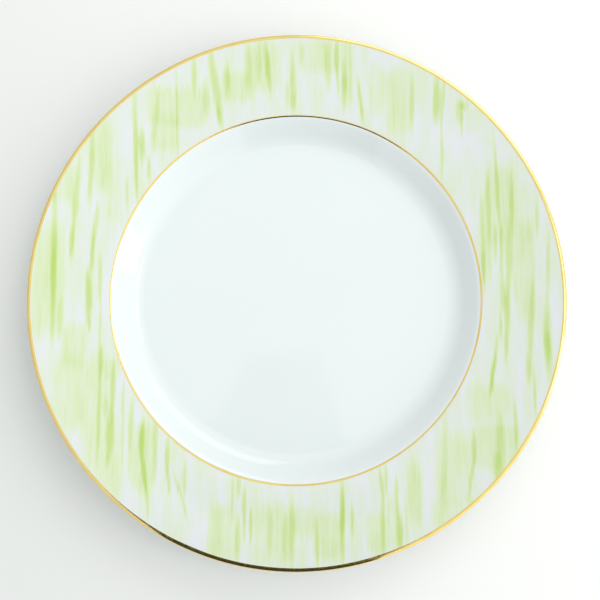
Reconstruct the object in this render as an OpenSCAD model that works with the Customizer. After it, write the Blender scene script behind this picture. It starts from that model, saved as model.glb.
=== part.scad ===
// Wide-rimmed china dinner plate: porcelain body, glaze, printed rim band, gold band and line, back stamp.
// Millimetres, +Z up. The origin is the centre of the foot ring's resting plane.
// The section is drawn in (radius, height) and turned about Z. It is walked from the middle of the
// well out over the lip and back under the plate, so the free side is always on the left of the walk.

/* [Plate] */
// Outside diameter over the lip
plate_d = 270; // [262:1:280]
// Diameter of the verge, the rounded corner where the well meets the rim
verge_d = 186.6; // [184:0.2:190]
// Height of the well's floor above the table
floor_h = 6.6; // [6:0.1:7.4]
// Depth of the well, from the verge down to the floor
well_depth = 9; // [8:0.1:9.6]
// Slope of the well's wall
wall_angle = 41.5; // [38:0.5:45]
// Slope of the rim just outside the verge
rim_angle_inner = 9.5; // [7:0.5:10]
// Slope of the rim at the lip
rim_angle_outer = 12.5; // [11.5:0.5:15]

/* [Thickness] */
// Thickness of the wall and the inner rim, measured square to the surface
wall_t = 4.1; // [3.8:0.1:4.4]
// Thickness of the rounded lip
lip_t = 2.7; // [2.4:0.1:3]
// Thickness of the clear glaze
glaze_t = 0.3; // [0.25:0.01:0.4]
// Thickness of the printed band and of the gold, sunk in the glaze
print_t = 0.12; // [0.08:0.01:0.15]

/* [Foot ring] */
// Mean diameter of the foot ring
foot_d = 153.6; // [150:0.2:156]
// Width of the foot ring at its lowest corners
foot_w = 2.8; // [2.6:0.1:3.4]
// Height of the recess inside the foot ring
foot_h = 2.9; // [2.6:0.1:3.2]
// Slope of the foot ring's sides from the vertical
foot_draft = 18; // [12:1:22]
// Height above the table at which the glaze is wiped away
bare_h = 1; // [0.9:0.05:1.3]

/* [Decoration] */
// Slope of the rounded verge under the middle of the gold line
line_slope = 17; // [16:0.5:22]
// Width of the gold line
line_w = 1; // [0.6:0.1:1.2]
// Width of the gold band on the face, measured in from the lip's end
band_w = 1.9; // [1.5:0.1:3]
// Width of the gold band on the back, measured in from the lip's end
band_back_w = 2.1; // [1.8:0.1:3]
// Outside diameter of the back stamp
stamp_d = 19; // [12:0.5:30]
// Leaves in the back stamp's rosette
stamp_leaves = 6; // [4:1:8]

/* [Hidden] */

chord_tolerance = 0.004;  // how far a chord may stray from its arc
turn_fn = 180;            // facets of the preview's turned shapes
same_point = 0.0001;      // points closer than this are one point

// Radii of the section's rounded corners
floor_fillet = 13;
verge_fillet = 6;
rim_fillet = 180;
lip_fillet = 0.48 * lip_t;
under_verge_fillet = 8;
under_wall_fillet = 4;
foot_root_fillet = 1.2;
foot_edge_fillet = 0.7;
recess_fillet = 1.4;

// Corners of the face
plate_r = plate_d / 2;
verge = [verge_d / 2, floor_h + well_depth];
floor_corner = [verge.x - well_depth / tan(wall_angle), floor_h];
rim_half = (plate_r - verge.x) / 2;
rim_middle = verge + rim_half * [1, tan(rim_angle_inner)];

// The rounded verge, which carries the gold line
verge_end = verge + verge_fillet * tan((wall_angle - rim_angle_inner) / 2) * along(rim_angle_inner);
verge_centre = verge_end - verge_fillet * left_of(along(rim_angle_inner));
line_half_turn = line_w / verge_fillet * 90 / PI;
line_inner_slope = line_slope + line_half_turn;
line_outer_slope = line_slope - line_half_turn;
line_start = on_verge(line_inner_slope);
line_end = on_verge(line_outer_slope);

// Corners of the lip, whose rounded end reaches the outside diameter
lip_along = along(rim_angle_outer);
lip_up = left_of(lip_along);
lip_under_r = plate_r - lip_fillet * (1 - lip_along.x + lip_up.x);
lip_top_r = lip_under_r + lip_t * lip_up.x;
lip_top = rim_middle + lip_along * (lip_top_r - rim_middle.x) / lip_along.x;
lip_under = lip_top - lip_t * lip_up;

// Corners of the back
under_miter = wall_t / cos((wall_angle - rim_angle_inner) / 2);
under_slope = (wall_angle + rim_angle_inner) / 2;
under_verge = verge + under_miter * [sin(under_slope), -cos(under_slope)];
under_wall_z = foot_h + 0.5;
under_wall = [under_verge.x - (under_verge.y - under_wall_z) / tan(wall_angle), under_wall_z];
foot_outer = [(foot_d + foot_w) / 2, 0];
foot_inner = [(foot_d - foot_w) / 2, 0];
flank = tan(foot_draft);
foot_root = [foot_outer.x + flank * (foot_h + 0.2), foot_h + 0.2];
recess_corner = [foot_inner.x - flank * foot_h, foot_h];
recess_middle = [0, foot_h];

// Where one kind of surface ends and the next begins
band_start = lip_top - band_w * lip_along;
under_rim_along = unit(under_verge - lip_under);
band_end = lip_under + band_back_w * under_rim_along;
bare_start = foot_outer + bare_h * [flank, 1];
bare_end = foot_inner + bare_h * [-flank, 1];

// Plane geometry
function unit(v) = v / norm(v);
function along(slope) = [cos(slope), sin(slope)];
function left_of(v) = [-v.y, v.x];
function turned(v, angle) = [v.x * cos(angle) - v.y * sin(angle), v.x * sin(angle) + v.y * cos(angle)];
function cross_z(a, b) = a.x * b.y - a.y * b.x;
function pick(v) = [v.x, v.y];

// The point of the rounded verge that has a slope, and the corner, with its fillet, of the arc between two
function on_verge(slope) = verge_centre + verge_fillet * left_of(along(slope));
function verge_corner(from_slope, to_slope) =
    concat(on_verge(from_slope) + verge_fillet * tan((from_slope - to_slope) / 2) * along(from_slope),
           verge_fillet);

// The arc that rounds corner b between a and c, as [r, z, normal r, normal z]
function bend(a, b, c, radius) =
    let (before = unit(b - a),
         after = unit(c - b),
         turn = atan2(cross_z(before, after), before * after),
         side = sign(turn),
         start = b - before * radius * tan(abs(turn) / 2),
         centre = start + side * radius * left_of(before),
         steps = max(1, ceil(abs(turn) / (2 * acos(1 - chord_tolerance / radius)))))
    [for (k = [0:steps])
        let (normal = turned(left_of(before), turn * k / steps))
        concat(centre - side * radius * normal, normal)];

// A walk through corners [r, z, fillet radius], with its first and last point square-ended
function walk(corners) =
    let (last = len(corners) - 1,
         first_normal = left_of(unit(pick(corners[1]) - pick(corners[0]))),
         last_normal = left_of(unit(pick(corners[last]) - pick(corners[last - 1]))))
    concat([concat(pick(corners[0]), first_normal)],
           [for (i = [1:1:last - 1])
               each bend(pick(corners[i - 1]), pick(corners[i]), pick(corners[i + 1]), corners[i].z)],
           [concat(pick(corners[last]), last_normal)]);

// The same walk, moved inward by a depth
function sunk(points, depth) = [for (p = points) [p[0] - depth * p[2], p[1] - depth * p[3]]];
function reversed(points) = [for (i = [len(points) - 1:-1:0]) points[i]];
function tidy(points) =
    [for (i = [0:len(points) - 1])
        if (i == 0 || norm(points[i] - points[i - 1]) > same_point) points[i]];

// The section's stretches, each with one kind of surface
well_face = walk([[0, floor_h], [floor_corner.x, floor_corner.y, floor_fillet],
                  verge_corner(wall_angle, line_inner_slope), line_start]);
line_face = walk([line_start, verge_corner(line_inner_slope, line_outer_slope), line_end]);
rim_face = walk([line_end, verge_corner(line_outer_slope, rim_angle_inner),
                 [rim_middle.x, rim_middle.y, rim_fillet], band_start]);
band_face = walk([band_start, [lip_top.x, lip_top.y, lip_fillet],
                  [lip_under.x, lip_under.y, lip_fillet], band_end]);
back_face = walk([band_end, [under_verge.x, under_verge.y, under_verge_fillet],
                  [under_wall.x, under_wall.y, under_wall_fillet],
                  [foot_root.x, foot_root.y, foot_root_fillet], bare_start]);
bare_face = walk([bare_start, [foot_outer.x, foot_outer.y, foot_edge_fillet],
                  [foot_inner.x, foot_inner.y, foot_edge_fillet], bare_end]);
recess_face = walk([bare_end, [recess_corner.x, recess_corner.y, recess_fillet], recess_middle]);
glazed_face = concat(well_face, line_face, rim_face, band_face, back_face);

// A solid turned from a closed section
module turned_solid(section) {
    rotate_extrude($fn = turn_fn)
        polygon(tidy(section));
}

// A layer of one thickness that lies under one stretch of the surface
module layer(face, thickness) {
    turned_solid(concat(sunk(face, 0), reversed(sunk(face, thickness))));
}

// Fired porcelain, bare only where the foot ring meets the table
module porcelain_body() {
    color([0.93, 0.91, 0.87])
        turned_solid(concat(sunk(glazed_face, glaze_t), sunk(bare_face, 0), sunk(recess_face, glaze_t)));
}

// Clear glaze over the face, round the lip and down the back to the foot ring, with seats for the prints
module glaze_coat() {
    outside = concat(sunk(well_face, 0), sunk(line_face, print_t), sunk(rim_face, print_t),
                     sunk(band_face, print_t), sunk(back_face, 0));
    color([0.92, 0.97, 0.96])
        turned_solid(concat(outside, reversed(sunk(glazed_face, glaze_t))));
}

// Clear glaze in the recess inside the foot ring
module foot_well_glaze() {
    color([0.92, 0.97, 0.96])
        layer(recess_face, glaze_t);
}

// Printed band of green brush strokes between the gold line and the gold band
module rim_decal() {
    color([0.85, 0.92, 0.72])
        layer(rim_face, print_t);
}

// Gold over the lip, on the face, the end and the back
module lip_gold_band() {
    color([0.86, 0.68, 0.3])
        layer(band_face, print_t);
}

// Gold line round the verge
module verge_gold_line() {
    color([0.86, 0.68, 0.3])
        layer(line_face, print_t);
}

// A flat ring of the back stamp
module stamp_ring(outside_d, width) {
    difference() {
        cylinder(h = print_t, d = outside_d, $fn = turn_fn);
        translate([0, 0, -print_t])
            cylinder(h = 3 * print_t, d = outside_d - 2 * width, $fn = turn_fn);
    }
}

// A pointed leaf, made where two circles cross, with its stalk end at the origin
module stamp_leaf(length, width) {
    leaf_r = (length * length + width * width) / (4 * width);
    intersection() {
        translate([length / 2, leaf_r - width / 2, 0])
            cylinder(h = print_t, r = leaf_r, $fn = turn_fn);
        translate([length / 2, width / 2 - leaf_r, 0])
            cylinder(h = print_t, r = leaf_r, $fn = turn_fn);
    }
}

// Plain two-ring mark with a rosette of leaves, printed on the glaze of the recess
module backstamp() {
    color([0.35, 0.5, 0.2])
        translate([0, 0, foot_h - print_t]) {
            stamp_ring(stamp_d, stamp_d / 40);
            stamp_ring(stamp_d * 0.86, stamp_d / 80);
            for (i = [0:stamp_leaves - 1])
                rotate([0, 0, i * 360 / stamp_leaves])
                    translate([stamp_d * 0.07, 0, 0])
                        stamp_leaf(stamp_d * 0.28, stamp_d * 0.1);
        }
}

porcelain_body();
glaze_coat();
foot_well_glaze();
rim_decal();
lip_gold_band();
verge_gold_line();
backstamp();
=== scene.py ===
"""A wide-rimmed china dinner plate with a green brush-stroked rim and gold at the lip and verge.

Every layer of the plate is turned again here from the same section as the frame's, with finer steps. It
gets the small faults of a real plate: firing warp, wavy gold edges and a rolled end to the glaze at the
foot. The section is in millimetres, as (radius, height), and meshes are in metres.
"""
import math

import bpy
import numpy as np
from mathutils import Matrix, Vector


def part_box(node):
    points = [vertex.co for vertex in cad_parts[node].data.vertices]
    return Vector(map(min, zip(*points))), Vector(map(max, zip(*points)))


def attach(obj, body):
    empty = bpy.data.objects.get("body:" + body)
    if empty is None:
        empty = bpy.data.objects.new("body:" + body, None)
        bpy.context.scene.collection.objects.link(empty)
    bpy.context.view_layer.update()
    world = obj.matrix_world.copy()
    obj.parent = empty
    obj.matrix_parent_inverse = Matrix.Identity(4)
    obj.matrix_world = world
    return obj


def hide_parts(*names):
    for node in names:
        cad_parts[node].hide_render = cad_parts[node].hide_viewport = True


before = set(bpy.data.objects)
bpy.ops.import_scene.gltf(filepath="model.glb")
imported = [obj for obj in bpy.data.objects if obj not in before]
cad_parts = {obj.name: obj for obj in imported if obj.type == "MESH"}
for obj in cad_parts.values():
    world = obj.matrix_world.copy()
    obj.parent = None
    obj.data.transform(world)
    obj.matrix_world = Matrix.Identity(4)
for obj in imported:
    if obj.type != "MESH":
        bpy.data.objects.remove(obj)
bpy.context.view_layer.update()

MM = 0.001


# ---------------------------------------------------------------- sizes

def frame_size(node, corner, axis):
    """One side of a CAD node's box, in millimetres."""
    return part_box(node)[corner][axis] / MM


X, Z = 0, 2
LOW, HIGH = 0, 1

# Read from the frame
PLATE_R = frame_size("lip_gold_band", HIGH, X)
FOOT_H = frame_size("backstamp", HIGH, Z)
PRINT_T = FOOT_H - frame_size("backstamp", LOW, Z)
GLAZE_T = frame_size("foot_well_glaze", HIGH, Z) - FOOT_H
BARE_H = frame_size("glaze_coat", LOW, Z)
STAMP_R = frame_size("backstamp", HIGH, X)

# The section's other driving sizes, which a box can't show; angles in degrees
VERGE_R = 93.3
FLOOR_H = 6.6
WELL_DEPTH = 9.0
WALL_ANGLE = 41.5
RIM_ANGLE_INNER = 9.5
RIM_ANGLE_OUTER = 12.5
WALL_T = 4.1
LIP_T = 2.7
FOOT_MEAN_R = 76.8
FOOT_W = 2.8
FOOT_DRAFT = 18.0
LINE_SLOPE = 17.0
LINE_W = 1.0
BAND_W = 1.9
BAND_BACK_W = 2.1
FLOOR_FILLET = 13.0
VERGE_FILLET = 6.0
RIM_FILLET = 180.0
LIP_FILLET = 0.48 * LIP_T
UNDER_VERGE_FILLET = 8.0
UNDER_WALL_FILLET = 4.0
FOOT_ROOT_FILLET = 1.2
FOOT_EDGE_FILLET = 0.7
RECESS_FILLET = 1.4

# How far above the foot ring's depth the corners under the wall and at the foot's root lie
UNDER_WALL_RISE = 0.5
FOOT_ROOT_RISE = 0.2

# How finely the section is turned, and the angle in degrees from which an edge is shaded as one
TURN_STEPS = 360
CHORD_TOLERANCE = 0.004
LONGEST_STEP = 4.0
SAME_POINT = 0.0005
SHARP_ANGLE = 35

# The section is compared with one in so many of the frame's corners, in steps this fine, and may be off by
# this much more than the layer's thickness
CHECK_EVERY = 50
CHECK_STEP = 0.1
CHECK_SLACK = 0.1

# Print and gold: how far the gold stands proud, how far the print runs under it, their seat's margin, and
# how many points each gold has from edge to edge
GOLD_PROUD = 0.02
DECAL_UNDER_GOLD = 0.35
SEAT_MARGIN = 0.25
LIP_GOLD_POINTS = 44
VERGE_GOLD_POINTS = 9

# The glaze's rolled end: its swell, the swell's middle and width, and how far from the end it is modelled
GLAZE_ROLL = 0.07
ROLL_MIDDLE = 0.25
ROLL_WIDTH = 0.3
ROLL_REACH = 1.0
ROLL_POINTS = 9

# What drying and firing leave: waves round the rim as (height, count, shift), and the floor's sag
RIM_LOBES = [(0.09, 2, 0.7), (0.05, 3, -1.1), (0.02, 7, 0)]
FLOOR_SAG = 0.12

# The gold's edges: the brush's waves, how far the outer edge's are turned from the inner edge's in radians,
# and the swell where the stroke laps over its own start, with its place and width in degrees
BRUSH_WAVES = [(0.035, 3, 0.4), (0.025, 7, 2.1), (0.012, 19, 1.3), (0.008, 41, 0)]
OUTER_EDGE_TURN = 2.0
LAP_SWELL = 0.1
LAP_PLACE = 248
LAP_WIDTH = 2.5

# The foot mark: its rings and leaves, as shares of its radius, and how finely they are drawn
STAMP_RINGS = [(1, 0.95), (0.86, 0.835)]
RING_STEPS = 180
STAMP_LEAVES = 6
LEAF_START, LEAF_LENGTH, LEAF_WIDTH = 0.14, 0.56, 0.2
LEAF_POINTS = 13
LEAF_FULLNESS = 0.8
VEIN_SHARE = (0.7, 0.12)

# ---------------------------------------------------------------- light and view

# The room's glow, how it grows toward +X and +Y, and its colour
WORLD_BASE, WORLD_X, WORLD_Y = 0.91, 0.3, -0.12
ROOM_COLOUR = (1.0, 1.0, 0.995)

# Azimuth and elevation in degrees, power in watts, and width and height in metres
SOFT_LIGHTS = [(-10, 28, 1.7, 0.25, 0.9), (60, 38, 2.8, 0.9, 0.6), (15, 66, 0.5, 0.25, 0.25)]
SOFT_LIGHT_DISTANCE = 1.15

# The board's painted shade: which way its colour gets paler, standing in for the light's fall-off, and how
# far from the plate's middle it goes on, in millimetres; then
# # half its side and its height in metres, just clear of the foot
BOARD_LIT = (0.95, 0.3, 0)
BOARD_REACH = 180
BOARD_HALF = 3
BOARD_Z = -0.0002

# The dark side of the room: its height, its outline, and where along Y its soft edge starts and ends
DARK_HEIGHT = 0.45
DARK_OUTLINE = [(-1.9, -3.0), (0.95, -3.0), (0.07, -0.2), (0.018, -0.04),
                (0.012, 0.0), (-0.055, 0.0), (-0.15, -0.18)]
DARK_EDGE = (-0.025, 0.0)

# The camera's place, what it looks at, its lens and sensor in millimetres, and its nearest view
CAMERA_PLACE = (0.0126, -0.0434, 0.438)
AIM = (0.0026, -0.0022, 0.020)
LENS = 50.2
SENSOR = 36.0
NEAREST = 0.01


# ---------------------------------------------------------------- the print's strokes

# Each stroke: its top and its low end, its width, and its load of pigment
STROKES = [
    # Upper left
    ((-82, 106), (-82, 58), 2.5, 0.5), ((-82, 90), (-82, 70), 2.0, 0.3), ((-79, 86), (-79, 70), 3.0, 0.7),
    ((-81.5, 72), (-81.5, 50), 1.5, 0.4), ((-75.5, 72), (-75.5, 60), 2.0, 0.5),
    ((-86.5, 62), (-86.5, 47), 1.5, 0.35), ((-103.5, 84), (-105, 48), 2.6, 0.6),
    ((-110, 70), (-113, 35), 3.0, 0.5), ((-113, 38), (-114, 20), 2.2, 0.4),
    ((-101, 46), (-103, 28), 2.5, 0.5), ((-103, 30), (-104, 15), 1.8, 0.4),
    ((-122, 60), (-122, -20), 3.0, 0.4), ((-122, 58), (-122, 48), 2.2, 0.35),
    # Top, left of the middle
    ((-70, 106), (-74, 75), 2.4, 0.3), ((-61, 118), (-61, 72), 1.2, 0.4),
    ((-52, 122), (-52, 106), 2.5, 0.55), ((-46, 112), (-46, 95), 4.0, 0.4),
    ((-43.5, 126), (-38.5, 92), 4.0, 0.65), ((-40, 100), (-38.5, 88), 2.0, 0.5),
    ((-35, 120), (-35, 105), 3.0, 0.5), ((-24, 131), (-24, 105), 4.0, 0.4),
    ((-19, 130), (-19, 112), 3.5, 0.4), ((-15.5, 131), (-13, 108), 2.8, 0.7),
    ((-4, 112), (-4, 98), 2.0, 0.4), ((-1, 118), (-1, 95), 3.5, 0.5), ((-1, 106), (-1, 98), 2.6, 0.3),
    ((-1.5, 128), (-1.5, 110), 2.0, 0.3),
    # Top, right of the middle
    ((3.5, 131), (3.5, 120), 2.0, 0.35), ((17, 131), (17, 108), 3.5, 0.5),
    ((21.5, 131), (21.5, 115), 2.4, 0.65), ((22, 117), (22.5, 105), 1.6, 0.4),
    ((25.5, 120), (25.5, 98), 3.0, 0.6), ((25.5, 115), (25.5, 106), 2.4, 0.35),
    ((28.5, 128), (28.5, 100), 2.0, 0.35), ((32.5, 112), (35, 91), 2.0, 0.65),
    ((60, 110), (60, 85), 2.0, 0.4), ((72.5, 111), (72.5, 90), 3.5, 0.8), ((76, 110), (75, 88), 2.0, 0.5),
    ((75, 88), (75, 62), 1.5, 0.45), ((84, 100), (84, 88), 3.5, 0.5), ((85, 95), (85, 82), 1.5, 0.4),
    # Upper right
    ((86, 99), (86, 95), 5.0, 0.5), ((101, 79), (104, 30), 1.8, 0.5), ((98, 62), (98, 30), 2.5, 0.4),
    ((109.5, 60), (109.5, 30), 2.2, 0.5), ((94.5, 52), (94.5, 30), 1.8, 0.4),
    ((121.5, 48), (121.5, 30), 1.8, 0.35),
    # Right
    ((95.5, 35), (95.5, 5), 2.4, 0.5), ((95.5, 22), (95.5, 8), 2.0, 0.3),
    ((98.5, 35), (98.5, 8), 3.0, 0.35), ((101.5, 35), (101.5, 18), 2.0, 0.5),
    ((104.5, 35), (104.5, 10), 2.0, 0.5), ((108, 35), (108, 8), 3.5, 0.6),
    ((104.5, 8), (104.5, -8), 2.5, 0.55), ((107, 8), (106, -24), 2.6, 0.65),
    ((103, -8), (103, -22), 1.6, 0.5), ((119, 8), (116.5, -35), 2.8, 0.5),
    ((127, 30), (125.5, 0), 2.0, 0.4), ((125, -5), (125, -40), 3.5, 0.6),
    ((125, -18), (125, -33), 3.0, 0.35), ((101.5, -20), (97, -50), 1.8, 0.45),
    ((105.5, -20), (105.5, -35), 2.0, 0.35),
    # Lower right
    ((115.5, -30), (115.5, -45), 2.5, 0.45), ((118, -38), (118, -60), 1.4, 0.45),
    ((100.5, -30), (97, -48), 2.0, 0.5), ((108.5, -52), (108.5, -75), 2.0, 0.5),
    ((101, -60), (101, -85), 3.5, 0.45), ((99, -78), (99, -92), 4.0, 0.6), ((88, -68), (88, -82), 2.4, 0.5),
    ((88, -80), (84.5, -100), 1.8, 0.5), ((75, -60), (72, -110), 2.5, 0.3),
    # Bottom, right of the middle
    ((23.2, -92), (23.2, -130), 2.6, 0.6), ((23.2, -98), (23.2, -118), 2.2, 0.35),
    ((28, -103), (28, -118), 1.6, 0.5), ((11, -112), (11, -132), 2.0, 0.45),
    ((42, -86), (43.3, -100), 1.8, 0.5), ((43.3, -98), (43, -127), 2.0, 0.5),
    ((45, -84), (45, -98), 1.8, 0.5), ((50, -90), (50, -106), 1.6, 0.5),
    ((51.2, -105), (51.2, -124), 3.0, 0.75), ((54.5, -100), (54.5, -122), 1.6, 0.35),
    # Bottom, left of the middle
    ((-76.3, -63), (-76.3, -80), 2.6, 0.8), ((-76.3, -78), (-73, -98), 2.2, 0.65),
    ((-73, -96), (-72, -108), 1.6, 0.4), ((-63.7, -72), (-63.7, -88), 2.4, 0.65),
    ((-63.5, -86), (-61.5, -98), 1.8, 0.5), ((-60, -88), (-55, -102), 1.4, 0.45),
    ((-55, -102), (-53, -110), 1.4, 0.4), ((-54.5, -82), (-54.5, -98), 2.0, 0.3),
    ((-31, -90), (-31, -108), 1.6, 0.4), ((-28, -90), (-28, -100), 2.4, 0.5),
    ((-25, -95), (-25, -112), 2.2, 0.6), ((-25, -110), (-25, -122), 1.6, 0.4),
    ((-21.7, -107), (-21.7, -120), 1.8, 0.55), ((-28, -110), (-28, -130), 2.6, 0.6),
    ((-12, -105), (-12, -125), 3.0, 0.35), ((-5, -110), (-5, -130), 3.0, 0.4),
    ((-1.5, -103), (-1.5, -132), 3.0, 0.5),
    # Lower left
    ((-98, -30), (-98, -80), 1.8, 0.45), ((-91.5, -34), (-91.5, -60), 2.4, 0.65),
    ((-92, -58), (-92, -80), 4.0, 0.75), ((-92.5, -78), (-93, -86), 2.0, 0.4),
    ((-95, -50), (-95, -60), 3.0, 0.3), ((-86.5, -44), (-86.5, -60), 1.4, 0.4),
    ((-86, -58), (-85.5, -85), 1.2, 0.35), ((-82, -54), (-82, -75), 2.4, 0.55),
    ((-82, -72), (-82, -90), 2.0, 0.25), ((-69.5, -60), (-69.5, -85), 2.2, 0.4),
    # Left
    ((-122, 35), (-122, -18), 2.6, 0.4), ((-118.5, 0), (-118.5, -20), 3.0, 0.4),
    ((-114, 35), (-114, 20), 2.4, 0.4), ((-103.5, 35), (-103.5, 15), 2.5, 0.4),
    ((-105, 14), (-105, -12), 3.2, 0.8), ((-104.5, -10), (-104, -17), 1.8, 0.4),
    ((-99.5, 20), (-99.5, -2), 2.0, 0.5), ((-99, -2), (-99, -34), 1.2, 0.4),
    ((-98, -25), (-98, -40), 2.0, 0.45),
]

# Each wash: from left to right, from low to high, and its load of pigment
WASHES = [
    ((-103, -94), (55, 90), 0.45), ((-120, -113), (48, 68), 0.3), ((-101, -86), (40, 72), 0.2),
    ((-75, -45), (88, 108), 0.45), ((-75, -60), (76, 95), 0.4), ((-38, -21), (101, 116), 0.35),
    ((-25, -8), (107, 131), 0.35), ((2, 30), (116, 132), 0.4), ((38, 46), (94, 119), 0.35),
    ((47, 61), (85, 117), 0.5), ((87, 96), (83, 95), 0.3), ((96, 112), (28, 66), 0.4),
    ((112, 122), (28, 56), 0.3), ((110, 120), (-12, 36), 0.45), ((85, 107), (-62, -44), 0.3),
    ((88, 110), (-86, -64), 0.55), ((69, 85), (-101, -69), 0.3), ((68, 91), (-113, -99), 0.35),
    ((56, 63), (-111, -84), 0.3), ((9, 23), (-129, -107), 0.5), ((0, 10), (-119, -104), 0.4),
    ((35, 45), (-126, -107), 0.45), ((45, 51), (-124, -100), 0.3), ((55, 62), (-113, -81), 0.3),
    ((-81, -69), (-96, -64), 0.5), ((-42, -29), (-129, -104), 0.5), ((-21, 0), (-131, -104), 0.35),
    ((-120, -105), (-66, -29), 0.4), ((-105, -92), (-81, -29), 0.45), ((-101, -85), (-98, -79), 0.25),
    ((-132, -117), (-21, 36), 0.5), ((-117, -106), (-36, -14), 0.45), ((-97, -88), (-42, -31), 0.3),
]

# How sharply a stroke and a wash end: 1 fades all the way from the middle
STROKE_EDGE = 1.6
WASH_EDGE = 1.8

# How strongly strokes and washes show, and the least and most pigment between them
STROKE_LOAD = 0.62
WASH_LOAD = 0.34
TINGE_LOW, TINGE_HIGH = 0.02, 0.16

# The print's colour by its pigment
GREENS = [(0.0, (0.73, 0.765, 0.82)), (0.2, (0.66, 0.765, 0.52)), (0.45, (0.57, 0.71, 0.335)),
          (0.75, (0.46, 0.645, 0.165)), (1.0, (0.415, 0.625, 0.105))]


# ---------------------------------------------------------------- plane geometry

def along(slope):
    """The direction that rises outward at a slope in degrees."""
    return np.array([math.cos(math.radians(slope)), math.sin(math.radians(slope))])


def unit(v):
    return v / np.hypot(*v)


def left_of(v):
    return np.array([-v[1], v[0]])


def bend(before, corner, after, radius):
    """The arc that rounds a corner, as rows of radius, height and the two parts of the outward normal."""
    arriving = unit(corner - before)
    leaving = unit(after - corner)
    cross = arriving[0] * leaving[1] - arriving[1] * leaving[0]
    turn = math.atan2(cross, arriving @ leaving)
    side = math.copysign(1, turn)
    start = corner - arriving * radius * math.tan(abs(turn) / 2)
    centre = start + side * radius * left_of(arriving)
    steps = max(2, math.ceil(abs(turn) / (2 * math.acos(1 - CHORD_TOLERANCE / radius))))
    rows = []
    for angle in np.linspace(0, turn, steps + 1):
        normal = left_of(np.array([arriving[0] * math.cos(angle) - arriving[1] * math.sin(angle),
                                   arriving[0] * math.sin(angle) + arriving[1] * math.cos(angle)]))
        rows.append([*(centre - side * radius * normal), *normal])
    return rows


def walk(start, *stops):
    """Rows from a point, round corners of (point, fillet radius), to the last stop, a plain point."""
    *corners, end = stops
    points = np.array([start, *(point for point, _ in corners), end], float)
    rows = [[*points[0], *left_of(unit(points[1] - points[0]))]]
    for i, (_, fillet) in enumerate(corners, 1):
        rows += bend(points[i - 1], points[i], points[i + 1], fillet)
    rows.append([*points[-1], *left_of(unit(points[-1] - points[-2]))])
    return np.array(rows)


def spread(rows):
    """The same rows, with long straight steps divided and repeated points dropped."""
    kept = [rows[0]]
    for row in rows[1:]:
        length = np.hypot(*(row[:2] - kept[-1][:2]))
        if length < SAME_POINT:
            continue
        parts = math.ceil(length / LONGEST_STEP)
        kept += [kept[-1] + (row - kept[-1]) * k / parts for k in range(1, parts)]
        kept.append(row)
    return np.array(kept)


def sunk(rows, depth):
    """The points of some rows, moved into the plate by a depth."""
    return rows[:, :2] - depth * rows[:, 2:]


def lengths(rows):
    """How far along the rows each one is."""
    return np.append(0, np.hypot(*np.diff(rows[:, :2], axis=0).T).cumsum())


def cut(rows, start, end):
    """The rows between two lengths along them."""
    along_rows = lengths(rows)
    between = along_rows[(along_rows > start + SAME_POINT) & (along_rows < end - SAME_POINT)]
    return resampled(rows, np.concatenate([[start], between, [end]]))


def resampled(rows, wanted):
    """Rows at the wanted lengths along some rows."""
    along_rows = lengths(rows)
    return np.stack([np.interp(wanted, along_rows, column) for column in rows.T], axis=1)


# ---------------------------------------------------------------- section

verge = np.array([VERGE_R, FLOOR_H + WELL_DEPTH])
floor_corner = np.array([VERGE_R - WELL_DEPTH / math.tan(math.radians(WALL_ANGLE)), FLOOR_H])
rim_half = (PLATE_R - VERGE_R) / 2
rim_middle = verge + rim_half / math.cos(math.radians(RIM_ANGLE_INNER)) * along(RIM_ANGLE_INNER)

verge_turn = math.radians(WALL_ANGLE - RIM_ANGLE_INNER)
verge_end = verge + VERGE_FILLET * math.tan(verge_turn / 2) * along(RIM_ANGLE_INNER)
verge_centre = verge_end - VERGE_FILLET * left_of(along(RIM_ANGLE_INNER))
line_half_turn = math.degrees(LINE_W / VERGE_FILLET / 2)
line_inner_slope = LINE_SLOPE + line_half_turn
line_outer_slope = LINE_SLOPE - line_half_turn


def on_verge(slope):
    return verge_centre + VERGE_FILLET * left_of(along(slope))


def verge_corner(from_slope, to_slope):
    """The corner of the part of the rounded verge between two slopes, with its fillet."""
    reach = VERGE_FILLET * math.tan(math.radians(from_slope - to_slope) / 2)
    return on_verge(from_slope) + reach * along(from_slope), VERGE_FILLET


line_start = on_verge(line_inner_slope)
line_end = on_verge(line_outer_slope)

lip_along = along(RIM_ANGLE_OUTER)
lip_up = left_of(lip_along)
lip_top_r = PLATE_R - LIP_FILLET * (1 - lip_along[0] + lip_up[0]) + LIP_T * lip_up[0]
lip_top = rim_middle + lip_along * (lip_top_r - rim_middle[0]) / lip_along[0]
lip_under = lip_top - LIP_T * lip_up

under_slope = (WALL_ANGLE + RIM_ANGLE_INNER) / 2
under_verge = verge - WALL_T / math.cos(verge_turn / 2) * left_of(along(under_slope))
under_wall_z = FOOT_H + UNDER_WALL_RISE
under_wall = np.array([
    under_verge[0] - (under_verge[1] - under_wall_z) / math.tan(math.radians(WALL_ANGLE)), under_wall_z])
flank = math.tan(math.radians(FOOT_DRAFT))
foot_outer = np.array([FOOT_MEAN_R + FOOT_W / 2, 0.0])
foot_inner = np.array([FOOT_MEAN_R - FOOT_W / 2, 0.0])
foot_root = foot_outer + (FOOT_H + FOOT_ROOT_RISE) * np.array([flank, 1])
recess_corner = foot_inner + FOOT_H * np.array([-flank, 1])

band_start = lip_top - BAND_W * lip_along
band_end = lip_under + BAND_BACK_W * unit(under_verge - lip_under)
bare_start = foot_outer + BARE_H * np.array([flank, 1])
bare_end = foot_inner + BARE_H * np.array([-flank, 1])

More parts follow.
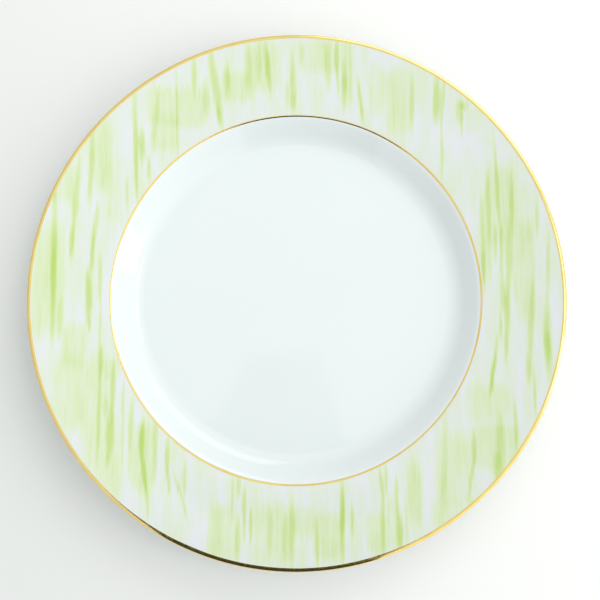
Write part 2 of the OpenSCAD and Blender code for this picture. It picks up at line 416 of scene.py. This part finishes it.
well_face = walk((0, FLOOR_H), (floor_corner, FLOOR_FILLET),
                 verge_corner(WALL_ANGLE, line_inner_slope), line_start)
line_face = walk(line_start, verge_corner(line_inner_slope, line_outer_slope), line_end)
rim_face = walk(line_end, verge_corner(line_outer_slope, RIM_ANGLE_INNER), (rim_middle, RIM_FILLET),
                band_start)
band_face = walk(band_start, (lip_top, LIP_FILLET), (lip_under, LIP_FILLET), band_end)
back_face = walk(band_end, (under_verge, UNDER_VERGE_FILLET), (under_wall, UNDER_WALL_FILLET),
                 (foot_root, FOOT_ROOT_FILLET), bare_start)
bare_face = walk(bare_start, (foot_outer, FOOT_EDGE_FILLET), (foot_inner, FOOT_EDGE_FILLET), bare_end)
recess_face = walk(bare_end, (recess_corner, RECESS_FILLET), (0, FOOT_H))
glazed_face = spread(np.vstack([well_face, line_face, rim_face, band_face, back_face]))

# How far from the middle of the well, along the glazed face, each layer starts and ends
LINE_START, LINE_END, BAND_START, BAND_END, GLAZE_END = np.cumsum(
    [lengths(spread(face))[-1] for face in (well_face, line_face, rim_face, band_face, back_face)])
SEAT_START = LINE_START + SEAT_MARGIN
SEAT_END = BAND_END - SEAT_MARGIN


def check_section():
    """Stops the script if the rim, lip or verge here has drifted well off the frame's.

    It compares a sample of corners and can miss a small drift. It leaves out the well, back and foot.
    """
    surface = resampled(glazed_face, np.arange(0, GLAZE_END, CHECK_STEP))
    for layer in ("rim_decal", "lip_gold_band", "verge_gold_line"):
        corners = np.array([v.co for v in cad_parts[layer].data.vertices]) / MM
        radii = np.hypot(corners[:, 0], corners[:, 1])
        for r, z in zip(radii[::CHECK_EVERY], corners[::CHECK_EVERY, Z]):
            gap = np.hypot(surface[:, 0] - r, surface[:, 1] - z).min()
            if gap > PRINT_T + CHECK_SLACK:
                raise ValueError(f"the section is {gap:.2f} mm off the frame's {layer}")


check_section()


# ---------------------------------------------------------------- turned meshes

angles = np.linspace(0, 2 * math.pi, TURN_STEPS, endpoint=False)


def settle(x, y, z):
    """Heights in millimetres, with the floor's slight sag and the rim's slight warp from the kiln added."""
    r = np.hypot(x, y)
    angle = np.arctan2(y, x)
    outward = np.clip((r - FOOT_MEAN_R) / (PLATE_R - FOOT_MEAN_R), 0, 1)
    lobes = sum(height * np.cos(count * angle + shift) for height, count, shift in RIM_LOBES)
    sag = FLOOR_SAG * np.clip(1 - (r / FOOT_MEAN_R) ** 2, 0, 1)
    return z + lobes * outward ** 2 - sag


def turned(name, section, closed):
    """A piece turned about Z from section points in millimetres, or from one set of points for each step.

    A closed section gives a ring; otherwise the points run from the axis to the axis.
    """
    sections = np.broadcast_to(section, (TURN_STEPS, *np.shape(section)[-2:]))
    count = sections.shape[1]
    verts, starts, ring_sizes = [], [], []
    for i in range(count):
        on_axis = sections[0, i, 0] < SAME_POINT
        steps = slice(0, 1) if on_axis else slice(None)
        radii, heights = sections[steps, i].T
        xs, ys = radii * np.cos(angles[steps]), radii * np.sin(angles[steps])
        starts.append(len(verts))
        ring_sizes.append(len(xs))
        verts += np.stack([xs, ys, settle(xs, ys, heights)], axis=1).tolist()
    faces = []
    for i in range(count if closed else count - 1):
        n = (i + 1) % count
        for j in range(TURN_STEPS):
            k = (j + 1) % TURN_STEPS
            corners = [starts[i] + j % ring_sizes[i], starts[n] + j % ring_sizes[n],
                       starts[n] + k % ring_sizes[n], starts[i] + k % ring_sizes[i]]
            faces.append(tuple(dict.fromkeys(corners)))
    return new_piece(name, verts, faces)


def new_piece(name, verts, faces):
    """An object from points in millimetres, with smooth faces and sharp edges where a layer ends."""
    mesh = bpy.data.meshes.new(name)
    mesh.from_pydata((np.array(verts) * MM).tolist(), [], faces)
    mesh.polygons.foreach_set("use_smooth", [True] * len(mesh.polygons))
    mesh.set_sharp_from_angle(angle=math.radians(SHARP_ANGLE))
    mesh.update()
    piece = bpy.data.objects.new(name, mesh)
    bpy.context.scene.collection.objects.link(piece)
    return piece


def distinct(*stretches):
    """The points of some stretches in one run, with repeats dropped."""
    points = np.vstack(stretches)
    apart = np.hypot(*np.diff(points, axis=0).T) > SAME_POINT
    return points[np.append(True, apart)]


def rolled_end(rows):
    """Glaze points whose end swells into the small roll that molten glaze leaves where it was wiped off."""
    total = lengths(rows)[-1]
    rows = resampled(rows, np.union1d(lengths(rows), total - np.linspace(0, ROLL_REACH, ROLL_POINTS)))
    to_end = total - lengths(rows)
    swell = GLAZE_ROLL * np.exp(-((to_end - ROLL_MIDDLE) / ROLL_WIDTH) ** 2)
    return sunk(rows, -swell[:, None])


def hand_wander(turned_by):
    """How far a banding brush strays from its circle round the plate, in millimetres, with its overlap."""
    turn = angles + turned_by
    wander = sum(height * np.sin(count * turn + shift) for height, count, shift in BRUSH_WAVES)
    from_lap = np.angle(np.exp(1j * (angles - math.radians(LAP_PLACE))))
    return wander + LAP_SWELL * np.exp(-(from_lap / math.radians(LAP_WIDTH)) ** 2)


def painted_ring(name, start, end, points):
    """A band of gold between two lengths along the glazed face, with hand-painted edges."""
    sections = []
    for inner, outer in zip(start - hand_wander(0), end + hand_wander(OUTER_EDGE_TURN)):
        rows = resampled(glazed_face, np.linspace(inner, outer, points))
        sections.append(np.vstack([sunk(rows, -GOLD_PROUD), sunk(rows, PRINT_T)[::-1]]))
    return turned(name, np.array(sections), closed=True)


# ---------------------------------------------------------------- pieces

def make_porcelain():
    """The fired body, which shows only where the foot ring is bare."""
    return turned("fired_porcelain", distinct(
        sunk(glazed_face, GLAZE_T),
        sunk(spread(bare_face), 0),
        sunk(spread(recess_face), GLAZE_T)), closed=False)


def make_glaze():
    """The glaze from the well's middle over the lip to the foot ring, with a seat for print and gold."""
    return turned("face_and_back_glaze", distinct(
        sunk(cut(glazed_face, 0, SEAT_START), 0),
        sunk(cut(glazed_face, SEAT_START, SEAT_END), PRINT_T),
        rolled_end(cut(glazed_face, SEAT_END, GLAZE_END)),
        sunk(glazed_face, GLAZE_T)[::-1]), closed=False)


def make_foot_glaze():
    """The pool of glaze inside the foot ring."""
    rows = spread(recess_face)
    return turned("foot_recess_glaze", distinct(
        sunk(rows, GLAZE_T)[::-1], rolled_end(rows[::-1])[::-1]), closed=False)


def make_decal():
    """The printed rim, which runs a little way under both golds."""
    rows = cut(glazed_face, LINE_END - DECAL_UNDER_GOLD, BAND_START + DECAL_UNDER_GOLD)
    return turned("printed_rim", np.vstack([sunk(rows, 0), sunk(rows, PRINT_T)[::-1]]), closed=True)


def make_lip_gold():
    return painted_ring("gold_on_lip", BAND_START, BAND_END, LIP_GOLD_POINTS)


def make_verge_gold():
    return painted_ring("gold_on_verge", LINE_START, LINE_END, VERGE_GOLD_POINTS)


def make_stamp():
    """The generic mark inside the foot: two rings and a rosette of leaves, each a thin raised print."""
    outlines = [circles(outer * STAMP_R, inner * STAMP_R) for outer, inner in STAMP_RINGS]
    outlines += [leaf(turn * 2 * math.pi / STAMP_LEAVES) for turn in range(STAMP_LEAVES)]
    verts, faces = [], []
    for outer, inner in outlines:
        count = len(outer)
        # Four loops: outer and inner against the glaze, then outer and inner on the side that shows
        loops = [len(verts) + count * k for k in range(4)]
        for z in (FOOT_H, FOOT_H - PRINT_T):
            verts += [(x, y, settle(x, y, z)) for x, y in np.vstack([outer, inner])]
        for a, b in ((0, 1), (1, 3), (3, 2), (2, 0)):
            for j in range(count):
                k = (j + 1) % count
                faces.append((loops[a] + j, loops[a] + k, loops[b] + k, loops[b] + j))
    return new_piece("green_foot_mark", verts, faces)


def circles(*radii):
    turn = np.linspace(0, 2 * math.pi, RING_STEPS, endpoint=False)
    return [radius * np.stack([np.cos(turn), np.sin(turn)], axis=1) for radius in radii]


def leaf(turn):
    """A pointed leaf's outline and its open vein, both with as many points."""
    start, length, width = LEAF_START * STAMP_R, LEAF_LENGTH * STAMP_R, LEAF_WIDTH * STAMP_R
    share = np.linspace(0, 1, LEAF_POINTS)
    swell = np.abs(np.sin(math.pi * share)) ** LEAF_FULLNESS
    edge = np.stack([start + length * share, -width / 2 * swell], axis=1)
    outer = np.vstack([edge, (edge * [1, -1])[-2:0:-1]])
    middle = np.array([start + length / 2, 0])
    vein = middle + (outer - middle) * VEIN_SHARE
    spin = np.array([[math.cos(turn), math.sin(turn)], [-math.sin(turn), math.cos(turn)]])
    return outer @ spin, vein @ spin


# ---------------------------------------------------------------- materials

def node(tree, kind, inputs=None, **settings):
    """A new shader node. inputs maps a socket's name or number to its value or its source."""
    new = tree.nodes.new("ShaderNode" + kind)
    for name, value in settings.items():
        setattr(new, name, value)
    for key, value in (inputs or {}).items():
        if isinstance(value, bpy.types.NodeSocket):
            tree.links.new(value, new.inputs[key])
        else:
            new.inputs[key].default_value = value
    return new


def calc(tree, operation, *values, clamp=False):
    return node(tree, "Math", dict(enumerate(values)), operation=operation, use_clamp=clamp).outputs[0]


def mix(tree, factor, low, high):
    """A colour between two, each a socket or a linear RGB triple."""
    low, high = (c if isinstance(c, bpy.types.NodeSocket) else (*c, 1) for c in (low, high))
    return node(tree, "Mix", {0: factor, 6: low, 7: high}, data_type="RGBA").outputs[2]


def noise(tree, where, scale, detail=2, roughness=0.5):
    """Noise from 0 to 1. scale is roughly how many waves there are in one unit of where."""
    return node(tree, "TexNoise", {"Vector": where, "Scale": scale, "Detail": detail,
                                   "Roughness": roughness}).outputs["Fac"]


def remap(tree, value, low, high, to_low=0.0, to_high=1.0):
    """A value moved from one range to another and held within it."""
    return node(tree, "MapRange", {0: value, 1: low, 2: high, 3: to_low, 4: to_high}).outputs[0]


def vary_roughness(tree, shader, pattern, low, high):
    """Varies the roughness between two values by a noise, which seldom leaves 0.3 to 0.7."""
    tree.links.new(remap(tree, pattern, 0.3, 0.7, low, high), shader.inputs["Roughness"])


def new_material(name, **constants):
    """A material with its shader, and the place on the plate in millimetres."""
    material = bpy.data.materials.new(name)
    material.use_nodes = True
    tree = material.node_tree
    shader = tree.nodes["Principled BSDF"]
    for socket, value in constants.items():
        shader.inputs[socket.replace("_", " ")].default_value = value
    place = node(tree, "VectorMath", {0: node(tree, "TexCoord").outputs["Object"], "Scale": 1 / MM},
                 operation="SCALE").outputs[0]
    return material, tree, shader, place


def bump(tree, shader, height, strength, distance):
    """Bumps the shader by a height from 0 to 1 that stands for a distance in millimetres."""
    relief = node(tree, "Bump", {"Height": height, "Strength": strength, "Distance": distance * MM})
    tree.links.new(relief.outputs[0], shader.inputs["Normal"])


def radius_from_axis(tree, place):
    flat = node(tree, "VectorMath", {0: place, 1: (1, 1, 0)}, operation="MULTIPLY").outputs[0]
    return node(tree, "VectorMath", {0: flat}, operation="LENGTH").outputs["Value"]


# Linear RGB colours
GLAZE_TINT = (0.77, 0.84, 0.838)
GOLD_DEEP, GOLD_PALE = (0.90, 0.68, 0.24), (0.95, 0.78, 0.30)
BISCUIT_DARK, BISCUIT_LIGHT, SCUFFED = (0.72, 0.68, 0.62), (0.82, 0.79, 0.74), (0.42, 0.39, 0.35)
INK_DARK, INK_LIGHT = (0.035, 0.15, 0.05), (0.06, 0.22, 0.08)
# The board's painted shade: its colour away from the light, and its colour toward the light
BOARD_PAINTED_SHADE, BOARD_LIT_TONE = (0.755, 0.785, 0.77), (0.925, 0.935, 0.915)
CARD_DARK, CARD_LIGHT, CARD_EDGE = (0.045, 0.045, 0.042), (0.06, 0.06, 0.056), (0.95, 0.95, 0.95)

# How far the glaze's tint varies either way, and the turning rings' frequency and their part of its relief
TINT_SWING = 0.015
RING_RATE = 1.7
RING_PART = 0.12


def glaze_material():
    """Clear glaze on white porcelain: a cool, very glossy white with faint orange peel and turning rings."""
    material, tree, shader, place = new_material("glossy_glaze", IOR=1.5)
    cloud = noise(tree, place, 0.018, 3)
    speck = noise(tree, place, 1.9, 2)
    depth = calc(tree, "ADD", calc(tree, "MULTIPLY", cloud, 0.7), calc(tree, "MULTIPLY", speck, 0.3))
    darker, lighter = ([share * c for c in GLAZE_TINT] for share in (1 - TINT_SWING, 1 + TINT_SWING))
    colour = mix(tree, depth, darker, lighter)
    tree.links.new(colour, shader.inputs["Base Color"])
    vary_roughness(tree, shader, noise(tree, place, 0.06, 4), 0.05, 0.11)
    rings = calc(tree, "SINE", calc(tree, "MULTIPLY", radius_from_axis(tree, place), RING_RATE))
    peel = calc(tree, "MULTIPLY_ADD", rings, RING_PART, noise(tree, place, 0.35, 2))
    bump(tree, shader, peel, 0.5, 0.01)
    return material


def gold_material():
    """Fired bright gold: a thin burnished metal film, paler or more orange where the brush left less."""
    material, tree, shader, place = new_material("burnished_gold", Metallic=1.0)
    load = noise(tree, place, 0.09, 3)
    colour = mix(tree, remap(tree, load, 0.3, 0.7), GOLD_DEEP, GOLD_PALE)
    tree.links.new(colour, shader.inputs["Base Color"])
    vary_roughness(tree, shader, noise(tree, place, 0.8, 3), 0.06, 0.14)
    bump(tree, shader, noise(tree, place, 1.4, 3), 0.4, 0.01)
    return material


def biscuit_material():
    """Bare fired porcelain where the foot stands: matte, warm white, fine-grained and a little scuffed."""
    material, tree, shader, place = new_material("bare_biscuit", IOR=1.45)
    grain = noise(tree, place, 5.0, 4, 0.7)
    scuff = remap(tree, noise(tree, place, 0.22, 4, 0.7), 0.52, 0.72)
    clean = mix(tree, grain, BISCUIT_DARK, BISCUIT_LIGHT)
    colour = mix(tree, calc(tree, "MULTIPLY", scuff, 0.55), clean, SCUFFED)
    tree.links.new(colour, shader.inputs["Base Color"])
    vary_roughness(tree, shader, grain, 0.65, 0.9)
    bump(tree, shader, grain, 0.8, 0.05)
    return material


def stamp_material():
    """A dark green print under gloss, broken a little where the ink took unevenly."""
    material, tree, shader, place = new_material("green_print", IOR=1.5)
    broken = remap(tree, noise(tree, place, 2.6, 4, 0.6), 0.56, 0.68)
    ink = mix(tree, noise(tree, place, 0.4, 2), INK_DARK, INK_LIGHT)
    colour = mix(tree, calc(tree, "MULTIPLY", broken, 0.7), ink, GLAZE_TINT)
    tree.links.new(colour, shader.inputs["Base Color"])
    vary_roughness(tree, shader, noise(tree, place, 0.5, 2), 0.1, 0.2)
    bump(tree, shader, broken, 0.3, 0.02)
    return material


# ---------------------------------------------------------------- the brush-stroke print

def dab_group(name, boxy):
    """Adds one dab to the pigment so far: a soft-edged ellipse, or nearly a box."""
    group = bpy.data.node_groups.new(name, "ShaderNodeTree")
    for socket, kind in (("Pigment", "Float"), ("Place", "Vector"), ("Middle", "Vector"),
                         ("Lean", "Vector"), ("Reach", "Vector"), ("Load", "Float"), ("Edge", "Float")):
        group.interface.new_socket(socket, in_out="INPUT", socket_type="NodeSocket" + kind)
    group.interface.new_socket("Pigment", in_out="OUTPUT", socket_type="NodeSocketFloat")
    into = group.nodes.new("NodeGroupInput").outputs
    out = group.nodes.new("NodeGroupOutput")
    placed = node(group, "Mapping", {"Vector": into["Place"], "Location": into["Middle"],
                                     "Rotation": into["Lean"], "Scale": into["Reach"]},
                  vector_type="TEXTURE").outputs[0]
    if boxy:
        placed = node(group, "VectorMath", {0: placed, 1: placed}, operation="MULTIPLY").outputs[0]
    inside = node(group, "TexGradient", {0: placed}, gradient_type="SPHERICAL").outputs["Fac"]
    dab = calc(group, "MULTIPLY", inside, into["Edge"], clamp=True)
    group.links.new(calc(group, "MULTIPLY_ADD", dab, into["Load"], into["Pigment"]), out.inputs[0])
    return group


def paint(tree, group, pigment, place, top, low, width, load, edge, half_at):
    """Adds a dab from its top to its low end, in millimetres, and returns the pigment so far.

    edge is how sharply it ends, and half_at the share of its reach where it falls to half.
    """
    dx, dy = top[0] - low[0], top[1] - low[1]
    dab = tree.nodes.new("ShaderNodeGroup")
    dab.node_tree = group
    for name, value in {"Middle": ((top[0] + low[0]) / 2, (top[1] + low[1]) / 2, 0),
                        "Lean": (0, 0, math.atan2(-dx, dy)),
                        "Reach": (width / 2 / half_at, math.hypot(dx, dy) / 2 / half_at, 1000.0),
                        "Load": load, "Edge": edge}.items():
        dab.inputs[name].default_value = value
    if pigment is not None:
        tree.links.new(pigment, dab.inputs["Pigment"])
    tree.links.new(place, dab.inputs["Place"])
    return dab.outputs[0]


def brushed(tree, place, across, down, detail=3):
    """Noise drawn out along the strokes, with its frequency across them and along them."""
    drawn_out = node(tree, "Mapping", {"Vector": place, "Scale": (across, down, 1)}).outputs[0]
    return noise(tree, drawn_out, 1.0, detail, 0.6)


def stroke_pigment(tree, place):
    """How much green lies at each place, from 0 to about 1: strokes and washes of a dry flat brush."""
    flat = node(tree, "VectorMath", {0: place, 1: (1, 1, 0)}, operation="MULTIPLY").outputs[0]
    sway = remap(tree, brushed(tree, flat, 0.05, 0.035, 2), 0.2, 0.8, -0.4, 0.4)
    ragged = remap(tree, brushed(tree, flat, 1.9, 0.035), 0.25, 0.75, -3.5, 3.5)
    shift = node(tree, "CombineXYZ", {0: sway, 1: ragged}).outputs[0]
    drawn = node(tree, "VectorMath", {0: flat, 1: shift}).outputs[0]
    stroke, wash = dab_group("brush_stroke", False), dab_group("brush_wash", True)
    strokes = washes = None
    for top, low, width, load in STROKES:
        strokes = paint(tree, stroke, strokes, drawn, top, low, width, STROKE_LOAD * load, STROKE_EDGE,
                        1 - 0.5 / STROKE_EDGE)
    for (left, right), (low, high), load in WASHES:
        middle = (left + right) / 2
        washes = paint(tree, wash, washes, drawn, (middle, high), (middle, low), right - left,
                       WASH_LOAD * load, WASH_EDGE, math.sqrt(1 - 0.5 / WASH_EDGE))
    streaks = remap(tree, brushed(tree, flat, 0.6, 0.03, 4), 0.3, 0.7, 0.6, 1.3)
    grain = remap(tree, brushed(tree, flat, 2.4, 0.08), 0.3, 0.7, 0.82, 1.15)
    tinge = remap(tree, brushed(tree, flat, 0.13, 0.03), 0.35, 0.65, TINGE_LOW, TINGE_HIGH)
    washes = calc(tree, "MULTIPLY", calc(tree, "ADD", washes, tinge), streaks)
    return calc(tree, "MULTIPLY", calc(tree, "ADD", washes, strokes), grain)


def decal_material():
    """The printed rim: brush strokes of leaf green on white with a breath of lilac, under the same gloss."""
    material, tree, shader, place = new_material("brushed_green_print", IOR=1.5)
    ramp = node(tree, "ValToRGB", {"Fac": stroke_pigment(tree, place)})
    steps = ramp.color_ramp.elements
    steps[0].position, steps[0].color = GREENS[0][0], (*GREENS[0][1], 1)
    steps[1].position, steps[1].color = GREENS[-1][0], (*GREENS[-1][1], 1)
    for position, colour in GREENS[1:-1]:
        steps.new(position).color = (*colour, 1)
    tree.links.new(ramp.outputs[0], shader.inputs["Base Color"])
    vary_roughness(tree, shader, noise(tree, place, 0.06, 4), 0.06, 0.12)
    bump(tree, shader, noise(tree, place, 0.35, 2), 0.5, 0.01)
    return material


# ---------------------------------------------------------------- build

PIECES = [
    (make_porcelain, "porcelain_body", "bare_porcelain", biscuit_material),
    (make_glaze, "glaze_coat", "clear_glaze", glaze_material),
    (make_foot_glaze, "foot_well_glaze", "clear_glaze", glaze_material),
    (make_decal, "rim_decal", "green_print", decal_material),
    (make_lip_gold, "lip_gold_band", "fired_gold", gold_material),
    (make_verge_gold, "verge_gold_line", "fired_gold", gold_material),
    (make_stamp, "backstamp", "stamp_print", stamp_material),
]

materials = {}
for make, node_name, slot_name, make_material in PIECES:
    piece = make()
    if make_material not in materials:
        materials[make_material] = make_material()
    piece.data.materials.append(materials[make_material])
    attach(piece, "root")
    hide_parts(node_name)


# ---------------------------------------------------------------- stage, light and camera

def stage_mesh(name, verts, faces, material):
    """A flat piece of the stage, in metres."""
    mesh = bpy.data.meshes.new(name)
    mesh.from_pydata(verts, [], faces)
    mesh.materials.append(material)
    thing = bpy.data.objects.new(name, mesh)
    bpy.context.scene.collection.objects.link(thing)
    return thing


def sheet(outline, z):
    """The points and the one face of a flat sheet."""
    return [(x, y, z) for x, y in outline], [tuple(range(len(outline)))]


def floor_material():
    """Plain white board with painted shade: its colour is a little less white toward the unlit corner, where
    the light falls off.
    """
    material, tree, shader, place = new_material("pale_board", Roughness=0.9, IOR=1.3)
    # Painted shade: the board's colour darkens away from the light's side
    toward_light = node(tree, "VectorMath", {0: place, 1: BOARD_LIT}, operation="DOT_PRODUCT")
    shade = remap(tree, toward_light.outputs["Value"], -BOARD_REACH, BOARD_REACH)
    tone = calc(tree, "MULTIPLY_ADD", noise(tree, place, 0.004, 2), 0.2, shade)
    tree.links.new(mix(tree, tone, BOARD_PAINTED_SHADE, BOARD_LIT_TONE), shader.inputs["Base Color"])
    return material


def card_material():
    """A dull dark surface with a pale, soft edge."""
    material, tree, shader, place = new_material("dark_card", Roughness=1.0, Specular_IOR_Level=0.0)
    along_y = node(tree, "SeparateXYZ", {0: place}).outputs[1]
    edge = remap(tree, along_y, DARK_EDGE[0] / MM, DARK_EDGE[1] / MM)
    dark = mix(tree, noise(tree, place, 0.01, 1), CARD_DARK, CARD_LIGHT)
    tree.links.new(mix(tree, edge, dark, CARD_EDGE), shader.inputs["Base Color"])
    return material


board_outline = [(BOARD_HALF * x, BOARD_HALF * y) for x, y in ((-1, -1), (1, -1), (1, 1), (-1, 1))]
stage_mesh("floor", *sheet(board_outline, BOARD_Z), floor_material())

# The dark side of the room behind the camera, which only glossy surfaces mirror
card = stage_mesh("dark_side_of_room", *sheet(DARK_OUTLINE, DARK_HEIGHT), card_material())
card.visible_camera = False
card.visible_diffuse = False
card.visible_shadow = False

world = bpy.data.worlds.new("soft_room")
bpy.context.scene.world = world
world.use_nodes = True
room = world.node_tree
direction = node(room, "SeparateXYZ", {0: node(room, "TexCoord").outputs["Generated"]}).outputs
glow_by_y = calc(room, "MULTIPLY_ADD", direction[1], WORLD_Y, WORLD_BASE)
glow = calc(room, "MULTIPLY_ADD", direction[0], WORLD_X, glow_by_y)
room.links.new(glow, room.nodes["Background"].inputs["Strength"])
room.nodes["Background"].inputs["Color"].default_value = (*ROOM_COLOUR, 1)


def add_soft_light(azimuth, elevation, power, width, height):
    """A soft rectangular light that faces the middle of the plate."""
    turn, tilt = math.radians(azimuth), math.radians(elevation)
    data = bpy.data.lights.new("soft_light", "AREA")
    data.shape = "RECTANGLE"
    data.size, data.size_y = width, height
    data.energy = power
    light = bpy.data.objects.new("soft_light", data)
    light.location = SOFT_LIGHT_DISTANCE * Vector((
        math.cos(turn) * math.cos(tilt), math.sin(turn) * math.cos(tilt), math.sin(tilt)))
    light.rotation_euler = light.location.to_track_quat("Z", "Y").to_euler()
    bpy.context.scene.collection.objects.link(light)


for soft_light in SOFT_LIGHTS:
    add_soft_light(*soft_light)

# Seen from straight above, a little towards -Y and +X
camera_data = bpy.data.cameras.new("camera")
camera_data.lens = LENS
camera_data.sensor_width = SENSOR
camera_data.clip_start = NEAREST
camera = bpy.data.objects.new("camera", camera_data)
camera.location = CAMERA_PLACE
back = (camera.location - Vector(AIM)).normalized()
right = Vector((0, 1, 0)).cross(back).normalized()
camera.rotation_euler = Matrix((right, back.cross(right), back)).transposed().to_euler()
bpy.context.scene.collection.objects.link(camera)
bpy.context.scene.camera = camera

bpy.context.scene.view_settings.view_transform = "Standard"
